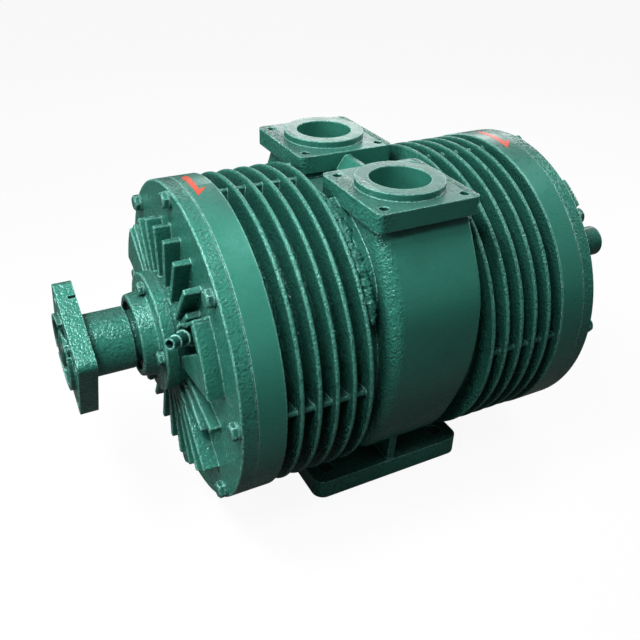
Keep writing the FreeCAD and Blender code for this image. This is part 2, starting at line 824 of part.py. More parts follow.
def bearing_cap(front):
    """The flanged cap that holds the bearing, open for the shaft at the front and closed at the rear."""
    boss = cap_boss_length if front else rear_cap_boss_length
    spigot = bearing_outer_radius - thread_gap
    root = cap_boss_radius + cap_boss_flare
    bend = 0.29 * cap_boss_fillet
    solid = turned([
        (cap_face - boss, 0), (cap_face - boss, cap_boss_radius - 2),
        (cap_face - boss + 0.6, cap_boss_radius - 0.6), (cap_face - boss + 2, cap_boss_radius),
        (cap_face - cap_boss_fillet, root),
        (cap_face - bend, root + bend), (cap_face, root + cap_boss_fillet),
        (cap_face, cap_radius - 1), (cap_face + 1, cap_radius),
        (-housing_proud, cap_radius), (-housing_proud, spigot), (bearing_start, spigot), (bearing_start, 0),
    ], shaft_offset)
    passage = sleeve_radius + passage_gap
    inner = cap_face + 3
    cuts = [tube(inner, 0, spigot - cap_spigot_wall, 0, 0, shaft_offset)]
    if front:
        seal_end = cap_face - boss + seal_depth + seal_width
        cuts.append(tube(cap_face - boss - 1, seal_end, seal_bore_radius, 0, 0, shaft_offset))
        cuts.append(tube(cap_face - boss - 1, 0, passage, 0, 0, shaft_offset))
    else:
        cuts.append(tube(cap_face - boss + 5, 0, passage + 3, 0, 0, shaft_offset))
    for y, z in around(cap_bolt_count, cap_bolt_circle, 0, shaft_offset):
        cuts.append(tube(cap_face - 1, 0, cap_bolt_radius + bolt_hole_gap, 0, y, z))
        cuts.append(tube(cap_face - boss - 1, cap_face, cap_spot_face, 0, y, z))
    return solid.cut(cuts)


def shaft_seal():
    start = cap_face - cap_boss_length + seal_depth
    return turned([
        (start, seal_bore_radius), (start, sleeve_radius + seal_gap), (start + 2, sleeve_radius + seal_gap),
        (start + 3, seal_bore_radius - 4), (start + seal_width, seal_bore_radius - 4),
        (start + seal_width, seal_bore_radius),
    ], shaft_offset)


def inner_seal():
    start = cover_thickness - 1 - inner_seal_width
    return tube(start, cover_thickness - 1, inner_seal_radius, shaft_shoulder_radius + seal_gap, 0, shaft_offset)


def bearing_outer_ring():
    return tube(bearing_start, bearing_end, bearing_outer_radius, outer_track_radius, 0, shaft_offset)


def bearing_inner_ring():
    return tube(bearing_start, bearing_end, inner_track_radius, journal_radius, 0, shaft_offset)


def bearing_rollers():
    start = bearing_start + (bearing_width - roller_length) / 2
    rollers = []
    for y, z in around(roller_count, roller_pitch_radius, 0, shaft_offset):
        rollers.append(tube(start, start + roller_length, roller_radius, 0, y, z))
    return Part.makeCompound(rollers)


def bearing_cage():
    half = cage_thickness / 2
    ring = tube(
        bearing_start + 1, bearing_end - 1, roller_pitch_radius + half, roller_pitch_radius - half, 0, shaft_offset
    )
    start = bearing_start + (bearing_width - roller_length) / 2 - cage_gap
    pockets = []
    for y, z in around(roller_count, roller_pitch_radius, 0, shaft_offset):
        pockets.append(tube(start, start + roller_length + 2 * cage_gap, roller_radius + cage_gap, 0, y, z))
    return ring.cut(pockets)


def oil_nipple():
    """A stepped hose spigot with a hexagon foot, leaning out of the corner beside the bearing cap."""
    seat = nipple_boss_length
    collar = seat + nipple_hexagon
    neck = collar + nipple_collar
    tip = neck + nipple_neck
    end = tip + nipple_tip
    parts = [
        along_nipple(seat - fitting_bite, seat + 1, nipple_thread_radius),
        along_nipple(collar, neck, nipple_collar_radius),
        along_nipple(neck, tip, nipple_neck_radius),
        along_nipple(tip, end, nipple_tip_radius),
    ]
    foot_bar = hexagon(0, nipple_hexagon, nipple_flats)
    direction = nipple_direction()
    foot_bar.Placement = FreeCAD.Placement(
        nipple_root() + direction * seat, FreeCAD.Rotation(Vector(1, 0, 0), direction)
    )
    body = united(parts + [foot_bar])
    return body.cut(along_nipple(seat - fitting_bite - 1, end + 1, nipple_bore_radius))


def rear_plug():
    """The round plug with a hexagon socket in the rear cover's oil boss, drawn at the front end."""
    p = outward(channel_angle, plug_distance)
    seat = -plug_boss_height
    end = seat - plug_head
    head = tube(end, seat, plug_head_radius, 0, p.y, p.z)
    head = head.makeChamfer(1.5, [e for e in head.Edges if e.BoundBox.XMax < end + 0.01])
    shank = tube(seat - 1, seat + fitting_bite, plug_thread_radius, 0, p.y, p.z)
    socket = hexagon(end - 1, end + plug_socket_depth, plug_socket_flats, p.y, p.z)
    return united([head, shank]).cut(socket)


def rotor_slot(index):
    """The slot of one vane, beside the radius by the slot offset."""
    width = vane_thickness + 2 * vane_side_gap
    slot = Part.makeBox(rotor_end - rotor_start + 2, rotor_radius, width)
    slot.translate(Vector(rotor_start - 1, slot_floor, slot_offset - width / 2))
    slot.rotate(Vector(0, 0, 0), Vector(1, 0, 0), 180 - vane_angle(index))
    slot.translate(Vector(0, 0, shaft_offset))
    return slot


def vane_angle(index):
    return first_vane_angle + 360.0 * index / vane_count


def vane(index):
    """A flat vane with a rounded tip. It lies at the slot's floor, or hangs out by its lift."""
    length = rotor_end - rotor_start
    blade = Part.makeBox(length, vane_height, vane_thickness)
    edges = []
    for e in blade.Edges:
        if e.BoundBox.YMin > vane_height - 0.1 and e.BoundBox.XLength > 1:
            edges.append(e)
    blade = blade.makeFillet(vane_thickness / 4, edges)
    lift = 0.2
    if math.sin(math.radians(vane_angle(index))) < 0:
        lift += vane_lift
    blade.translate(Vector(rotor_start, slot_floor + lift, slot_offset - vane_thickness / 2))
    blade.rotate(Vector(0, 0, 0), Vector(1, 0, 0), 180 - vane_angle(index))
    blade.translate(Vector(0, 0, shaft_offset))
    return blade


def rotor():
    body = tube(rotor_start, rotor_end, rotor_radius, rotor_seat_radius, 0, shaft_offset)
    return body.cut([rotor_slot(i) for i in range(vane_count)])


def shaft_keyway():
    start = plate_back + key_inset
    low = shaft_offset + drive_journal_radius - key_in_shaft
    return Part.makeBox(key_length, key_width, key_height, Vector(start, -key_width / 2, low))


def rotor_shaft():
    nut_seat = plate_front + nut_recess_depth
    end = nut_seat - nut_washer_thickness - nut_thickness - 3
    rear_bearing_end = overall_length - bearing_start
    rear_end = rear_bearing_end + lock_ring_thickness + 2
    seal_edge = overall_length - bearing_end
    body = turned([
        (end, 0), (end, nut_thread_radius - 1.5), (end + 1.5, nut_thread_radius),
        (nut_seat, nut_thread_radius), (nut_seat, drive_journal_radius), (bearing_start, drive_journal_radius),
        (bearing_start, journal_radius), (bearing_end, journal_radius), (bearing_end, shaft_shoulder_radius),
        (rotor_start, shaft_shoulder_radius), (rotor_start, rotor_seat_radius),
        (rotor_end, rotor_seat_radius), (rotor_end, shaft_shoulder_radius),
        (seal_edge, shaft_shoulder_radius), (seal_edge, journal_radius),
        (rear_end - 1, journal_radius), (rear_end, journal_radius - 1), (rear_end, 0),
    ], shaft_offset)
    return body.cut(shaft_keyway())


def rear_lock_ring():
    start = overall_length - bearing_start
    ring = tube(
        start, start + lock_ring_thickness, journal_radius + lock_ring_wall, journal_radius, 0, shaft_offset
    )
    notches = []
    for angle in (45, 135, 225, 315):
        corner = Vector(start - 1, journal_radius + lock_ring_wall - 2, -3)
        notch = Part.makeBox(lock_ring_thickness + 2, 3, 6, corner)
        notch.rotate(Vector(0, 0, 0), Vector(1, 0, 0), angle)
        notch.translate(Vector(0, 0, shaft_offset))
        notches.append(notch)
    return ring.cut(notches)


def drive_flange():
    """The square coupling flange, its hub, and the sleeve that runs in the shaft seal."""
    z = shaft_offset
    half = plate_side / 2
    plate = Part.makeBox(plate_thickness, plate_side, plate_side, Vector(plate_front, -half, -half))
    plate = plate.makeFillet(plate_corner, [e for e in plate.Edges if e.BoundBox.XLength > 1])
    pilot = tube(plate_front - pilot_height, plate_front + 1, pilot_radius, pilot_radius - pilot_wall)
    slot = Part.makeBox(plate_slot_length + 1, plate_slot_width, plate_slot_depth + 1)
    slot.translate(Vector(plate_back - plate_slot_length, plate_slot_place, half - plate_slot_depth))
    cuts = [slot]
    for y, dz in around(4, plate_hole_circle, 45):
        cuts.append(tube(plate_front - 10, plate_back + 10, plate_hole_radius, 0, y, dz))
    plate = plate.cut(cuts)
    plate.rotate(Vector(0, 0, 0), Vector(1, 0, 0), 45 - plate_turn)
    notch = Part.makeBox(pilot_height, 2 * pilot_radius + 2, pilot_notch)
    notch.translate(Vector(plate_front - pilot_height, -pilot_radius - 1, -pilot_notch / 2))
    notch.rotate(Vector(0, 0, 0), Vector(1, 0, 0), -pilot_notch_angle)
    inner = pilot_radius - pilot_wall - 1
    top = plate_front - pilot_height
    gap = sector(inner, pilot_radius + 1, pilot_gap_low, pilot_gap_high, top, plate_front)
    solid = plate.fuse(pilot.cut([notch, gap]))
    solid.translate(Vector(0, 0, z))
    hub = turned([
        (plate_back - 1, 0), (plate_back - 1, hub_radius), (plate_back + hub_length - 1.5, hub_radius),
        (plate_back + hub_length, hub_radius - 1.5), (plate_back + hub_length, sleeve_radius),
        (bearing_start, sleeve_radius), (bearing_start, 0),
    ], z)
    bore = tube(plate_front - 1, bearing_start + 1, drive_journal_radius, 0, 0, z)
    recess = tube(plate_front - 1, plate_front + nut_recess_depth, nut_recess_radius, 0, 0, z)
    keyway = Part.makeBox(bearing_start - plate_front + 2, key_width, key_height)
    keyway.translate(Vector(plate_front - 1, -key_width / 2, z + drive_journal_radius - key_in_shaft))
    return solid.fuse(hub).cut([bore, recess, keyway])


def nut_washer():
    seat = plate_front + nut_recess_depth
    return tube(seat - nut_washer_thickness, seat, nut_washer_radius, nut_thread_radius, 0, shaft_offset)


def drive_nut():
    seat = plate_front + nut_recess_depth - nut_washer_thickness
    body = chamfered_head(seat, seat - nut_thickness, nut_flats, 0, shaft_offset, 10)
    return body.cut(tube(seat - nut_thickness - 1, seat + 1, nut_thread_radius, 0, 0, shaft_offset))


put_out("cylinder_casing", cylinder_casing())
put_out("front_cover", end_cover(True))
put_out("rear_cover", to_rear(end_cover(False)))
put_out("front_bearing_cap", bearing_cap(True))
put_out("rear_bearing_cap", to_rear(bearing_cap(False)))
put_out("front_shaft_seal", shaft_seal())
put_out("front_oil_nipple", oil_nipple())
put_out("rear_oil_plug", to_rear(rear_plug()))

ends = {
    "cover_gasket": cover_gasket(),
    "cover_bolts": cover_bolts(),
    "cover_washers": cover_washers(),
    "cap_bolts": cap_bolts(),
    "cap_washers": cap_washers(),
    "inner_seal": inner_seal(),
    "bearing_outer_ring": bearing_outer_ring(),
    "bearing_inner_ring": bearing_inner_ring(),
    "bearing_rollers": bearing_rollers(),
    "bearing_cage": bearing_cage(),
}
for name, shape in ends.items():
    put_out("front_" + name, shape)
    put_out("rear_" + name, to_rear(shape))

put_out("rotor", rotor())
put_out("rotor_shaft", rotor_shaft())
put_out("rear_lock_ring", rear_lock_ring())
put_out("drive_flange", drive_flange())
put_out("drive_key", shaft_keyway())
put_out("drive_nut", drive_nut())
put_out("drive_nut_washer", nut_washer())
for number in range(vane_count):
    put_out("vane_" + str(number + 1), vane(number))
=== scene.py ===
# %% [markdown]
# # A finned vacuum pump, dressed for its portrait
#
# The solids of this pump come from a CAD program and are already in the right place. What they lack is a
# skin: real ones are rough iron castings, dipped in thick green enamel, bolted up and knocked about a
# little. In this lesson each cell adds one thing that the eye expects, and says why it was made that way.

# %% Load the solid model
import json
import math

import bmesh
import bpy
from mathutils import Matrix, Vector, noise


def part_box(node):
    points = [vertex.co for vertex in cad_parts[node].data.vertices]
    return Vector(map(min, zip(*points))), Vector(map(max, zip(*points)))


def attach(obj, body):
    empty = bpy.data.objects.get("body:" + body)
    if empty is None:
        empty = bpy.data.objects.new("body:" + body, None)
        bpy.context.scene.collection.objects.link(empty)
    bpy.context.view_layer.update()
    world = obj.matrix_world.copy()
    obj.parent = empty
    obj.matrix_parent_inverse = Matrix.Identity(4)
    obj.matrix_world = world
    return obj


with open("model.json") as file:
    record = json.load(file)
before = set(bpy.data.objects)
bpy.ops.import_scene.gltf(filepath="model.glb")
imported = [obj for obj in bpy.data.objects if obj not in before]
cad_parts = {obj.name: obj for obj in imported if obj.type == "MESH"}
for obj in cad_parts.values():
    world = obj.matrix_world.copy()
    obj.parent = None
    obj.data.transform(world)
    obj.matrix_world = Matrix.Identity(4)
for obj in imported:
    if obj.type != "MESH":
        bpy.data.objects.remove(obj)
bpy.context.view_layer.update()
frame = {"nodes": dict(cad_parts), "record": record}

nodes = frame["nodes"]

# %% [markdown]
# ## The drum that everything lies on
#
# Signs, beads and machined bands all follow the drum, so its size is needed first. It could be typed in,
# but a measured size can't disagree with the model. The front cover is a plain disc as wide as the drum,
# so the middle of its box is the drum's axis and half its width is the drum's radius. All sizes are in
# metres.

# %% Drum sizes
cover_low, cover_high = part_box("front_cover")
DRUM_HEIGHT = (cover_low.z + cover_high.z) / 2
DRUM_RADIUS = (cover_high.y - cover_low.y) / 2
DRUM_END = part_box("cylinder_casing")[1].x
for what, size in (("axis height", DRUM_HEIGHT), ("radius", DRUM_RADIUS), ("half length", DRUM_END)):
    print("drum", what, round(size, 4))

# %% [markdown]
# ## Where the eye stands
#
# The camera could be placed by hand and nudged until it looks right. Here its place was worked out
# beforehand from round things of known roundness, the two end covers and the port rings, so it is written
# down as three directions and one point. The lens is a mild wide-angle, close to the object.

# %% Camera
to_right = Vector((0.88883, -0.45751, 0.02597))
to_bottom = Vector((-0.22401, -0.48324, -0.84635))
look = Vector((0.39976, 0.74644, -0.53200))
eye = Vector((-0.3963, -0.6601, 0.6404))
camera_data = bpy.data.cameras.new("portrait_camera")
camera_data.lens = 41.56
camera_data.sensor_width = 36.0
camera_data.clip_start = 0.02
camera_data.clip_end = 60.0
camera = bpy.data.objects.new("portrait_camera", camera_data)
bpy.context.scene.collection.objects.link(camera)
camera.matrix_world = Matrix((
    (to_right.x, -to_bottom.x, -look.x, eye.x),
    (to_right.y, -to_bottom.y, -look.y, eye.y),
    (to_right.z, -to_bottom.z, -look.z, eye.z),
    (0, 0, 0, 1),
))
bpy.context.scene.camera = camera
bpy.context.scene.view_settings.view_transform = "Standard"

# %% [markdown]
# ## Small helpers for materials
#
# A material is a little graph of nodes. Wiring it by hand is long-winded, so a few helpers do the typing:
# one starts a material, one adds a node and fills in its sockets, and one plugs a value or a link into a
# socket, whichever it gets.

# %% Helpers that wire nodes
def plug(tree, socket, value):
    """Gives a socket a link from another node, or else a plain value."""
    if isinstance(value, bpy.types.NodeSocket):
        tree.links.new(value, socket)
    else:
        socket.default_value = value


def start_material(name):
    material = bpy.data.materials.new(name)
    material.use_nodes = True
    tree = material.node_tree
    return material, tree, tree.nodes["Principled BSDF"]


def add_node(tree, kind, settings=None, **sockets):
    """Adds a node. Settings are its properties. A socket is named, or called i0, i1 by its place."""
    node = tree.nodes.new(kind)
    for key, value in (settings or {}).items():
        setattr(node, key, value)
    for key, value in sockets.items():
        by_place = key[0] == "i" and key[1:].isdigit()
        socket = node.inputs[int(key[1:])] if by_place else node.inputs[key.replace("_", " ")]
        plug(tree, socket, value)
    return node


print("helpers to wire nodes: 3")

# %% [markdown]
# ## Numbers that vary over the surface
#
# A finish is mostly sums: this much grain here, that much wear there. These four helpers do the
# arithmetic inside the material, so that the numbers can differ from point to point.

# %% Helpers that calculate
def maths(tree, operation, a, b=0.0):
    return add_node(tree, "ShaderNodeMath", {"operation": operation}, i0=a, i1=b).outputs[0]


def blend_colour(tree, share, first, second):
    node = add_node(tree, "ShaderNodeMix", {"data_type": "RGBA"})
    for name, value in (("Factor_Float", share), ("A_Color", first), ("B_Color", second)):
        socket = next(s for s in node.inputs if s.identifier == name)
        plug(tree, socket, value)
    return next(s for s in node.outputs if s.identifier == "Result_Color")


def ramp(tree, value, low, high, to_low=0.0, to_high=1.0):
    """Maps a number from one range to another, clamped."""
    node = add_node(tree, "ShaderNodeMapRange", {"clamp": True}, Value=value)
    node.inputs["From Min"].default_value = low
    node.inputs["From Max"].default_value = high
    node.inputs["To Min"].default_value = to_low
    node.inputs["To Max"].default_value = to_high
    return node.outputs[0]


def speckle(tree, place, scale, detail=4.0, rough=0.55):
    """Cloudy noise between 0 and 1. A scale of 300 gives lumps of about 3 mm."""
    node = add_node(tree, "ShaderNodeTexNoise", None, Vector=place, Scale=scale, Detail=detail)
    node.inputs["Roughness"].default_value = rough
    return node.outputs["Fac"]


print("helpers to calculate: 4")

# %% [markdown]
# ## Where the casting is smooth
#
# The bands at both ends of the drum are turned on a lathe, and the belt below the ports is smooth as
# well, so the grain of the sand fades out there. Both places follow from the distance to the drum's axis
# and the place along it, so a little arithmetic finds them and no mask has to be painted.

# %% Smooth bands and belt
BAND_WIDTH = 0.031
BELT_RADIUS = 0.153
BELT_FRONT = -0.042
BELT_REAR = 0.052


def smooth_share(tree, place):
    """How far a point of the cylinder is on a turned band or on the belt below the ports, from 0 to 1."""
    split = add_node(tree, "ShaderNodeSeparateXYZ", None, Vector=place)
    x = split.outputs[0]
    up = maths(tree, "SUBTRACT", split.outputs[2], DRUM_HEIGHT)
    across_squared = maths(tree, "MULTIPLY", split.outputs[1], split.outputs[1])
    up_squared = maths(tree, "MULTIPLY", up, up)
    radius = maths(tree, "SQRT", maths(tree, "ADD", across_squared, up_squared))
    outside = ramp(tree, radius, DRUM_RADIUS - 0.0008, DRUM_RADIUS - 0.0002)
    band_start = DRUM_END - BAND_WIDTH
    near_end = ramp(tree, maths(tree, "ABSOLUTE", x), band_start - 0.001, band_start + 0.001)
    on_band = maths(tree, "MULTIPLY", outside, near_end)
    above_fins = ramp(tree, radius, BELT_RADIUS - 0.003, BELT_RADIUS + 0.003)
    before_rear = ramp(tree, x, BELT_REAR + 0.0015, BELT_REAR - 0.0015)
    behind_front = ramp(tree, x, BELT_FRONT - 0.005, BELT_FRONT + 0.005)
    on_belt = maths(tree, "MULTIPLY", maths(tree, "MULTIPLY", above_fins, before_rear), behind_front)
    return maths(tree, "MAXIMUM", on_band, on_belt)


print("bands", BAND_WIDTH, "m wide, belt from", BELT_FRONT, "to", BELT_REAR)

# %% [markdown]
# ## Wear, dust and painted light on the enamel
#
# Thick gloss paint runs thin over sharp edges, so edges look paler, and this pale edge colour is also a
# painted highlight, standing in for the light that rounded edges catch. Corners that see little open air
# and the pits of the grain are painted darker, which is painted shade, and dust settles on whatever faces
# up. A picture of worn paint could be wrapped round the pump, but it would stretch. Here each effect is
# asked of the surface itself: how far a rounded edge turns away from the flat face, how much open air a
# point sees, and which way it looks.

# %% Wear, painted highlights, painted shade and dust
ENAMEL = (0.033, 0.205, 0.150, 1.0)
DARKER_ENAMEL = (0.026, 0.150, 0.115, 1.0)
# Pale enamel for worn edges, which also paints the highlights of rounded edges.
PALE_WEAR_AND_HIGHLIGHT = (0.340, 0.800, 0.690, 1.0)
# Dark enamel for stains, and for the painted shade in corners and grain pits.
GRIME_AND_SHADE_ENAMEL = (0.010, 0.060, 0.046, 1.0)
DUSTY_ENAMEL = (0.055, 0.125, 0.105, 1.0)
# How far the painted shade reaches out of a corner.
SHADE_REACH = 0.03


def wear_and_highlight_share(tree, rounded, leather):
    """The share of thin, pale paint, which is also a painted highlight: high where the rounded edge turns
    away from the face.
    """
    flat = add_node(tree, "ShaderNodeNewGeometry").outputs["Normal"]
    turn = add_node(tree, "ShaderNodeVectorMath", {"operation": "DOT_PRODUCT"}, i0=rounded, i1=flat)
    edge = ramp(tree, turn.outputs["Value"], low=0.995, high=0.90)
    return maths(tree, "MULTIPLY", edge, ramp(tree, leather, 0.36, 0.56, to_low=0.30, to_high=0.95))


def painted_shade_share(tree, leather, relief, peel):
    """The share of painted shade: darker in corners that see little open air, and in the pits of the
    grain.
    """
    occlusion = add_node(tree, "ShaderNodeAmbientOcclusion", {"samples": 6}, Distance=SHADE_REACH)
    corners = ramp(tree, occlusion.outputs["AO"], low=0.85, high=0.25, to_high=0.85)
    pits = ramp(tree, leather, low=0.50, high=0.34, to_high=0.50 + 0.3 * peel)
    return maths(tree, "MAXIMUM", corners, maths(tree, "MULTIPLY", relief, pits))


def dust_share(tree, normal, cloud):
    facing_up = add_node(tree, "ShaderNodeSeparateXYZ", None, Vector=normal).outputs[2]
    patches = ramp(tree, cloud, 0.30, 0.60, to_low=0.30, to_high=0.80)
    return maths(tree, "MULTIPLY", ramp(tree, facing_up, low=0.90, high=0.99), patches)


print("painted_shade reaches", SHADE_REACH, "m out of a corner")

# %% [markdown]
# ## The enamel
#
# Paint over a sand casting keeps the leathery grain of the sand, which breaks every highlight into
# sparkles. The grain is two noises: small lumps, made stronger and weaker by a slow roll. Both are worked
# out from the position on the pump in metres, so no pictures are needed and a lump has the same size
# everywhere. The gloss is tinted a little, with a thin clear coat on top for the small white glints.

# %% Enamel
ROLL_SCALE = 90.0
LEATHER_SCALE = 370.0
CLOUD_SCALE = 14.0
EDGE_RADIUS = 0.0020
GRAIN_DEPTH = 0.0034
SMOOTHED = 0.92
ENAMEL_ROUGHNESS = 0.28


def enamel(name, peel, tone=ENAMEL, smooth_bands=False):
    """Thick gloss paint. The peel is how deeply the leathery grain of the sand shows through."""
    material, tree, shader = start_material(name)
    coordinates = add_node(tree, "ShaderNodeTexCoord")
    place = coordinates.outputs["Object"]
    rolling = speckle(tree, place, ROLL_SCALE, detail=2.0, rough=0.5)
    leather = speckle(tree, place, LEATHER_SCALE, detail=1.0, rough=0.5)
    cloud = speckle(tree, place, CLOUD_SCALE, detail=5.0, rough=0.6)
    relief = ramp(tree, rolling, 0.35, 0.65, to_low=0.7, to_high=1.2)
    if smooth_bands:
        smoothed = maths(tree, "MULTIPLY", smooth_share(tree, place), SMOOTHED)
        relief = maths(tree, "MULTIPLY", relief, maths(tree, "SUBTRACT", 1.0, smoothed))
    rounded = add_node(tree, "ShaderNodeBevel", {"samples": 4}, Radius=EDGE_RADIUS).outputs[0]

    dust = dust_share(tree, coordinates.outputs["Normal"], cloud)
    colour = blend_colour(tree, dust, tone, DUSTY_ENAMEL)
    # Stains: clouds of dark enamel at random.
    stain = ramp(tree, cloud, 0.45, 0.80, to_high=0.25)
    colour = blend_colour(tree, stain, colour, GRIME_AND_SHADE_ENAMEL)
    # Painted shade: corners and pits of the grain get the dark enamel.
    colour = blend_colour(tree, painted_shade_share(tree, leather, relief, peel), colour, GRIME_AND_SHADE_ENAMEL)
    # Pale worn edges, which also paint the highlights that rounded edges catch.
    colour = blend_colour(tree, wear_and_highlight_share(tree, rounded, leather), colour, PALE_WEAR_AND_HIGHLIGHT)
    plug(tree, shader.inputs["Base Color"], colour)
    matt = ramp(tree, rolling, 0.3, 0.8, to_low=ENAMEL_ROUGHNESS - 0.05, to_high=ENAMEL_ROUGHNESS + 0.12)
    plug(tree, shader.inputs["Roughness"], matt)

    height = maths(tree, "MULTIPLY", leather, maths(tree, "MULTIPLY", relief, peel))
    bump = add_node(tree, "ShaderNodeBump", None, Height=height, Normal=rounded)
    bump.inputs["Strength"].default_value = 1.0
    bump.inputs["Distance"].default_value = GRAIN_DEPTH
    plug(tree, shader.inputs["Normal"], bump.outputs[0])
    plug(tree, shader.inputs["Coat Normal"], bump.outputs[0])
    shader.inputs["Specular IOR Level"].default_value = 0.60
    shader.inputs["Specular Tint"].default_value = (0.50, 1.0, 0.92, 1.0)
    shader.inputs["Coat Weight"].default_value = 0.16
    shader.inputs["Coat Roughness"].default_value = 0.14
    return material


print("a lump of the grain is about", round(1.0 / LEATHER_SCALE, 4), "m wide")

# %% [markdown]
# ## Five coats of the same paint
#
# Every painted piece got the same enamel, but not the same metal below it. The drive flange and caps are
# coarse castings, the covers finer ones, the cylinder is smooth in places, and bolts are smooth steel. So
# one function paints them all, and only the depth of the grain changes.

# %% Painted finishes
cast_enamel = enamel("enamel_on_cast_iron", peel=0.34)
rough_enamel = enamel("enamel_on_rough_beads", peel=0.60)
cover_enamel = enamel("enamel_on_covers", peel=0.26)
casing_enamel = enamel("enamel_on_cylinder", peel=0.48, smooth_bands=True)
steel_enamel = enamel("enamel_on_steel", peel=0.08, tone=DARKER_ENAMEL)
for finish in (cast_enamel, rough_enamel, cover_enamel, casing_enamel, steel_enamel):
    print("enamel:", finish.name)

# %% [markdown]
# ## The parts that are not painted
#
# Inside the pump are ground steel, grey iron, brass cages and brown fibre vanes. Hardly any of it shows,
# but each gets its own finish, because somebody may take the pump apart on screen. Grain that is
# stretched along one axis looks like the marks of a lathe or a grinder.

# %% Bare finishes
STEEL = (0.52, 0.52, 0.53, 1.0)
EVEN = (1.0, 1.0, 1.0)
ALONG_X = (0.1, 1.0, 1.0)
DARK_GRAIN = 0.62


def bare(name, colour, metallic, roughness, grain_scale, grain_depth, streak=EVEN):
    """A finish without paint, with fine grain in its colour, gloss and height."""
    material, tree, shader = start_material(name)
    place = add_node(tree, "ShaderNodeTexCoord").outputs["Object"]
    stretched = add_node(tree, "ShaderNodeMapping", None, Vector=place)
    stretched.inputs["Scale"].default_value = streak
    grain = speckle(tree, stretched.outputs[0], grain_scale)
    darker = tuple(c * DARK_GRAIN for c in colour[:3]) + (1.0,)
    mottled = blend_colour(tree, ramp(tree, grain, 0.3, 0.7), darker, colour)
    plug(tree, shader.inputs["Base Color"], mottled)
    matt = ramp(tree, grain, 0.3, 0.8, to_low=roughness - 0.07, to_high=roughness + 0.1)
    plug(tree, shader.inputs["Roughness"], matt)
    shader.inputs["Metallic"].default_value = metallic
    bump = add_node(tree, "ShaderNodeBump", None, Height=grain)
    bump.inputs["Distance"].default_value = grain_depth
    bump.inputs["Strength"].default_value = 0.5
    plug(tree, shader.inputs["Normal"], bump.outputs[0])
    return material


ground_steel = bare("ground_steel", STEEL, 1.0, 0.28, 300.0, 0.0001, ALONG_X)
grey_iron = bare("machined_grey_iron", (0.22, 0.22, 0.23, 1.0), 0.9, 0.42, 500.0, 0.0002)
bearing_steel = bare("bearing_steel", (0.62, 0.62, 0.63, 1.0), 1.0, 0.18, 260.0, 0.00005)
cage_brass = bare("cage_brass", (0.58, 0.39, 0.13, 1.0), 1.0, 0.32, 350.0, 0.0001)
vane_fibre = bare("brown_vane_fibre", (0.16, 0.07, 0.03, 1.0), 0.0, 0.55, 600.0, 0.0002, (0.15, 1.0, 1.0))
seal_rubber = bare("black_seal_rubber", (0.018, 0.018, 0.018, 1.0), 0.0, 0.6, 700.0, 0.0001)
gasket_fibre = bare("oiled_gasket_paper", (0.045, 0.040, 0.030, 1.0), 0.0, 0.7, 900.0, 0.0003)
print("bare finishes: 7")

# %% [markdown]
# ## A shaft that is half painted
#
# The shaft's front end was sprayed together with the drive flange, and behind it the steel is bare. That
# could be two materials with a cut in the mesh, but the mesh isn't ours to change. So the bare finish
# gets paint mixed over it in front of one place along the shaft. That paint is much darker than the
# flange's enamel, which paints the shade of the recess that the shaft's end sits in.

# %% Shaft finish
PAINT_LIMIT = -0.300
# Enamel darkened as painted shade of the drive flange's recess.
RECESS_SHADE_ENAMEL = (0.012, 0.060, 0.046, 1.0)


def paint_front(material, along):
    """Covers a bare finish in front of one place on the shaft with enamel, dark as painted shade of the
    recess.
    """
    tree = material.node_tree
    shader = tree.nodes["Principled BSDF"]
    place = add_node(tree, "ShaderNodeTexCoord").outputs["Object"]
    x = add_node(tree, "ShaderNodeSeparateXYZ", None, Vector=place).outputs[0]
    bare_colour = shader.inputs["Base Color"].links[0].from_socket
    covered = ramp(tree, x, low=along, high=along - 0.001)
    plug(tree, shader.inputs["Base Color"], blend_colour(tree, covered, bare_colour, RECESS_SHADE_ENAMEL))
    plug(tree, shader.inputs["Metallic"], maths(tree, "SUBTRACT", 1.0, covered))


painted_end = bare("shaft_with_painted_end", STEEL, 1.0, 0.28, 300.0, 0.0001, ALONG_X)
paint_front(painted_end, PAINT_LIMIT)
print("shaft painted in front of", PAINT_LIMIT)

# %% [markdown]
# ## Give every solid its finish
#
# The record of the solid model names a material slot for each part, such as fasteners or bearing. One
# table turns slots into finishes, so no part is forgotten. A few parts differ from the rest of their slot
# and are named in a second table.

# %% Dress the parts
finish_of_slot = {
    "enamel": cast_enamel, "fasteners": steel_enamel, "fittings": steel_enamel, "gasket": gasket_fibre,
    "seal": seal_rubber, "bearing": bearing_steel, "cage": cage_brass, "rotor_iron": grey_iron,
    "shaft_steel": ground_steel, "vane": vane_fibre,
}
finish_of_part = {
    "cylinder_casing": casing_enamel, "front_cover": cover_enamel, "rear_cover": cover_enamel,
    "drive_nut": steel_enamel, "drive_nut_washer": steel_enamel, "rotor_shaft": painted_end,
}
for row in frame["record"]["subparts"]:
    part = nodes[row["node"]]
    part.data.materials.clear()
    part.data.materials.append(finish_of_part.get(row["node"], finish_of_slot[row["material_slot"]]))

# %% [markdown]
# ## Ways to put something on the drum
#
# A place on the drum is easiest to say as a distance along it and an angle round it. The first helper
# turns that into a point. The second makes an object of a finished mesh and ties it to the pump's
# housing.

# %% Drum helpers
def on_drum(along, angle, radius):
    """A point on the drum. The angle in degrees starts at the near side and grows upwards."""
    turn = math.radians(angle)
    return Vector((along, -radius * math.cos(turn), DRUM_HEIGHT + radius * math.sin(turn)))


def add_piece(name, mesh, material):
    """Turns mesh code into an object that rides on the housing."""
    data = bpy.data.meshes.new(name)
    bmesh.ops.recalc_face_normals(mesh, faces=mesh.faces)
    mesh.to_mesh(data)
    mesh.free()
    data.materials.append(material)
    piece = bpy.data.objects.new(name, data)
    bpy.context.scene.collection.objects.link(piece)
    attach(piece, "housing")
    return piece


print("the drum's top is at", tuple(round(value, 4) for value in on_drum(0.0, 90.0, DRUM_RADIUS)))

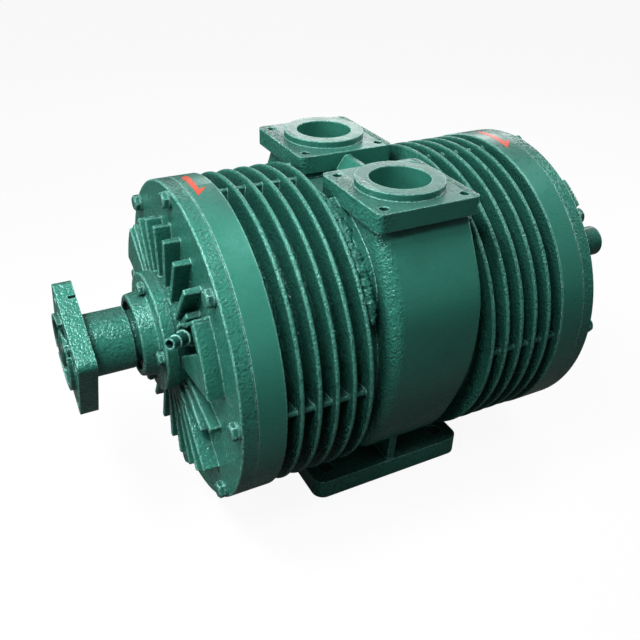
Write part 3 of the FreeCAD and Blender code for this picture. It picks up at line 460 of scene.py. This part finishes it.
# %% [markdown]
# ## Signs painted on the drum
#
# A red arrow on each smooth band says which way the rotor turns. A sign like that is a film of paint, so
# it could be a colour in the material. A thin mesh was chosen instead, because it keeps sharp corners at
# any size and comes along as a piece of its own. Its outline is drawn flat, as place along the drum and
# angle round it, and cut into small triangles. These are bent onto the band twice, just above and just
# below its surface, and walls along the outline close the film.

# %% Direction arrows
SIGN_FILM = 0.0002
SIGN_CUTS = 5


def painted_sign(name, corners, material):
    mesh = bmesh.new()
    mesh.faces.new([mesh.verts.new((along, angle, 0.0)) for along, angle in corners])
    bmesh.ops.triangulate(mesh, faces=mesh.faces)
    bmesh.ops.subdivide_edges(mesh, edges=mesh.edges, cuts=SIGN_CUTS, use_grid_fill=True)
    faces = list(mesh.faces)
    outline = [edge.verts[:] for edge in mesh.edges if edge.is_boundary]
    raised = {}
    for vert in mesh.verts[:]:
        along, angle = vert.co.x, vert.co.y
        raised[vert] = mesh.verts.new(on_drum(along, angle, DRUM_RADIUS + SIGN_FILM))
        vert.co = on_drum(along, angle, DRUM_RADIUS - SIGN_FILM)
    for face in faces:
        mesh.faces.new([raised[vert] for vert in face.verts])
    for first, second in outline:
        mesh.faces.new((first, second, raised[second], raised[first]))
    return add_piece(name, mesh, material)


sign_red = bare("red_sign_paint", (0.70, 0.090, 0.045, 1.0), 0.0, 0.32, 350.0, 0.0002)
front_corners = [(-0.1902, 101.1), (-0.1819, 102.6), (-0.1855, 86.8), (-0.1769, 87.8), (-0.1905, 82.7)]
rear_corners = [(0.1845, 101.5), (0.1920, 102.6), (0.1880, 86.5), (0.1956, 85.7), (0.1794, 80.5)]
for name, corners in (("front_arrow", front_corners), ("rear_arrow", rear_corners)):
    arrow = painted_sign(name, corners, sign_red)
    print(arrow.name, "has", len(arrow.data.polygons), "faces")

# %% [markdown]
# ## Rough beads from the foundry
#
# Along the shoulders the iron has a lumpy bead that nobody ground off, as it forms where the parts of a
# mould meet badly. Displacing the casting itself would change the solid model, so the bead is a piece of
# its own: a bent bar with rings of points, each pushed out or in by smooth noise. The ends taper into the
# casting, so the bead grows out of it.

# %% Casting bead
RINGS_PER_DEGREE = 2.6
POINTS_AROUND = 14
TAPER_SPEED = 7.0
BEAD_HEIGHT = 0.0100
LUMPS = ((170.0, 0.60), (430.0, 0.45))


def bead_ring(middle, outward, width, taper):
    """The points of one ring, from its middle outwards, with lumps."""
    points = []
    for step in range(POINTS_AROUND):
        turn = 2.0 * math.pi * step / POINTS_AROUND
        sideways = Vector((math.cos(turn) * width / 2, 0.0, 0.0))
        reach = sideways + outward * math.sin(turn) * BEAD_HEIGHT / 2
        lump = sum(noise.noise((middle + reach) * scale) * share for scale, share in LUMPS)
        points.append(middle + reach * (0.05 + 0.95 * taper) * (1.0 + lump))
    return points


def casting_bead(name, along, radius, low, high, width, material):
    rings = int((high - low) * RINGS_PER_DEGREE)
    mesh = bmesh.new()
    loops = []
    for ring in range(rings + 1):
        share = ring / rings
        angle = low + (high - low) * share
        taper = min(1.0, TAPER_SPEED * share, TAPER_SPEED * (1.0 - share)) ** 0.5
        middle = on_drum(along, angle, radius)
        outward = (on_drum(along, angle, radius + 0.01) - middle).normalized()
        loops.append([mesh.verts.new(point) for point in bead_ring(middle, outward, width, taper)])
    for first, second in zip(loops, loops[1:]):
        for here in range(POINTS_AROUND):
            there = (here + 1) % POINTS_AROUND
            mesh.faces.new((first[here], first[there], second[there], second[here]))
    mesh.faces.new(loops[0])
    mesh.faces.new(loops[-1])
    for face in mesh.faces:
        face.smooth = True
    return add_piece(name, mesh, material)


print("a bead has", POINTS_AROUND, "points around and", RINGS_PER_DEGREE, "rings per degree")

# %% [markdown]
# ## Where the beads lie
#
# One bead follows the shoulder beside the ports and a thinner one the last fin in front of it. The camera
# doesn't see the far flank, which gets the same two beads, mirrored, so that it isn't plainer than the
# near one.

# %% Place the beads
bead_rows = (
    ("shoulder_bead", -0.0655, 0.1660, 24.0, 74.0, 0.0115),
    ("fin_bead", -0.0705, 0.1630, 27.0, 76.0, 0.0060),
)
for name, along, radius, low, high, width in bead_rows:
    casting_bead("near_" + name, along, radius, low, high, width, rough_enamel)
    casting_bead("far_" + name, along, radius, 180.0 - high, 180.0 - low, width, rough_enamel)
    print(name, "near and far, over", high - low, "degrees")

# %% [markdown]
# ## The floor
#
# A pale floor catches a soft shadow, so the pump has weight. A white background could come from strong
# lamps, but they would bleach the paint. Instead, the floor glows where the camera looks at it, and a
# little in reflections, while it stays dark for the light that bounces back at the pump.

# %% Floor
FLOOR_HALF = 30.0
GLOW = 0.93
MIRRORED = 0.03
WHITE = (1.0, 1.0, 1.0, 1.0)


def background_share(tree):
    """How much of the white background a ray sees: all by camera or through glass, little in a gloss."""
    rays = add_node(tree, "ShaderNodeLightPath")
    mirrored = maths(tree, "MULTIPLY", rays.outputs["Is Glossy Ray"], MIRRORED)
    seen = maths(tree, "MAXIMUM", rays.outputs["Is Camera Ray"], mirrored)
    return rays, maths(tree, "MAXIMUM", seen, rays.outputs["Is Transmission Ray"])


floor_mesh = bpy.data.meshes.new("studio_floor")
floor_corners = [(x * FLOOR_HALF, y * FLOOR_HALF, 0) for x, y in ((-1, -1), (1, -1), (1, 1), (-1, 1))]
floor_mesh.from_pydata(floor_corners, [], [(0, 1, 2, 3)])
floor = bpy.data.objects.new("studio_floor", floor_mesh)
bpy.context.scene.collection.objects.link(floor)
floor_material, floor_tree, floor_shader = start_material("pale_floor")
floor_shader.inputs["Roughness"].default_value = 0.9
floor_shader.inputs["Specular IOR Level"].default_value = 0.1
rays, seen = background_share(floor_tree)
is_camera = rays.outputs["Is Camera Ray"]
floor_colour = blend_colour(floor_tree, is_camera, (0.07, 0.07, 0.07, 1.0), (0.80, 0.80, 0.80, 1.0))
plug(floor_tree, floor_shader.inputs["Base Color"], floor_colour)
glow = add_node(floor_tree, "ShaderNodeEmission", None, Strength=1.0)
both = add_node(floor_tree, "ShaderNodeMixShader", None, i0=maths(floor_tree, "MULTIPLY", seen, GLOW))
plug(floor_tree, both.inputs[1], floor_shader.outputs[0])
plug(floor_tree, both.inputs[2], glow.outputs[0])
plug(floor_tree, floor_tree.nodes["Material Output"].inputs["Surface"], both.outputs[0])
floor.data.materials.append(floor_material)
print("floor", 2 * FLOOR_HALF, "m wide")

# %% [markdown]
# ## The sky
#
# A studio has a ceiling and walls that send back a little light. A plain grey world would do, but gloss
# paint then looks flat from below. So the world is darker at the horizon and lighter overhead, and its
# white shows only to the rays that see the floor's white.

# %% Sky
LOW_SKY = (0.035, 0.037, 0.04, 1.0)
HIGH_SKY = (0.18, 0.185, 0.19, 1.0)
world = bpy.data.worlds.new("soft_sky")
bpy.context.scene.world = world
world.use_nodes = True
sky_tree = world.node_tree
sky = sky_tree.nodes["Background"]
direction = add_node(sky_tree, "ShaderNodeTexCoord").outputs["Generated"]
height_above = add_node(sky_tree, "ShaderNodeSeparateXYZ", None, Vector=direction).outputs[2]
grade = blend_colour(sky_tree, ramp(sky_tree, height_above, 0.0, 1.0), LOW_SKY, HIGH_SKY)
sky_seen = background_share(sky_tree)[1]
plug(sky_tree, sky.inputs["Color"], blend_colour(sky_tree, sky_seen, grade, WHITE))
sky.inputs["Strength"].default_value = 1.0
print("sky from", LOW_SKY[0], "to", HIGH_SKY[0])

# %% [markdown]
# ## The lamps
#
# Photographers light shiny paint with soft boxes, because a small lamp leaves a hard white dot. Two from
# above model the drum, one stands at each end, and one with a narrow spread lights the drive flange. A
# long one and a small one behind the pump are there for their glare, which slides over everything that
# faces up.

# %% Soft boxes
MIDDLE = (-0.05, -0.02, 0.22)
NOSE = (-0.30, -0.10, 0.22)
FRONT_END = (-0.25, -0.02, 0.20)
PORTS = (0.0, -0.08, 0.37)
ALL_ROUND = 180.0


def soft_box(name, place, size, watts, target, spread):
    data = bpy.data.lights.new(name, "AREA")
    data.shape = "RECTANGLE"
    data.size, data.size_y = size
    data.energy = watts
    data.spread = math.radians(spread)
    lamp = bpy.data.objects.new(name, data)
    bpy.context.scene.collection.objects.link(lamp)
    lamp.location = place
    lamp.rotation_mode = "QUATERNION"
    lamp.rotation_quaternion = (Vector(target) - Vector(place)).to_track_quat("-Z", "Y")


soft_box("box_left", (-0.68, -0.02, 1.41), (0.32, 0.32), 11.5, MIDDLE, ALL_ROUND)
soft_box("box_near", (-0.62, -0.55, 1.30), (0.32, 0.32), 1.6, NOSE, 70.0)
soft_box("box_right", (0.58, -0.02, 1.41), (0.45, 0.45), 6.5, MIDDLE, ALL_ROUND)
soft_box("box_end", (1.27, -0.02, 0.50), (0.45, 0.45), 3.5, MIDDLE, ALL_ROUND)
soft_box("box_low", (-1.45, 0.00, 0.80), (0.32, 0.32), 7.0, FRONT_END, ALL_ROUND)
soft_box("box_behind", (0.955, 1.391, 0.775), (1.38, 0.40), 6.0, PORTS, ALL_ROUND)
soft_box("box_corner", (1.521, 0.695, 0.900), (0.28, 0.14), 0.40, PORTS, ALL_ROUND)
print("seven soft boxes")
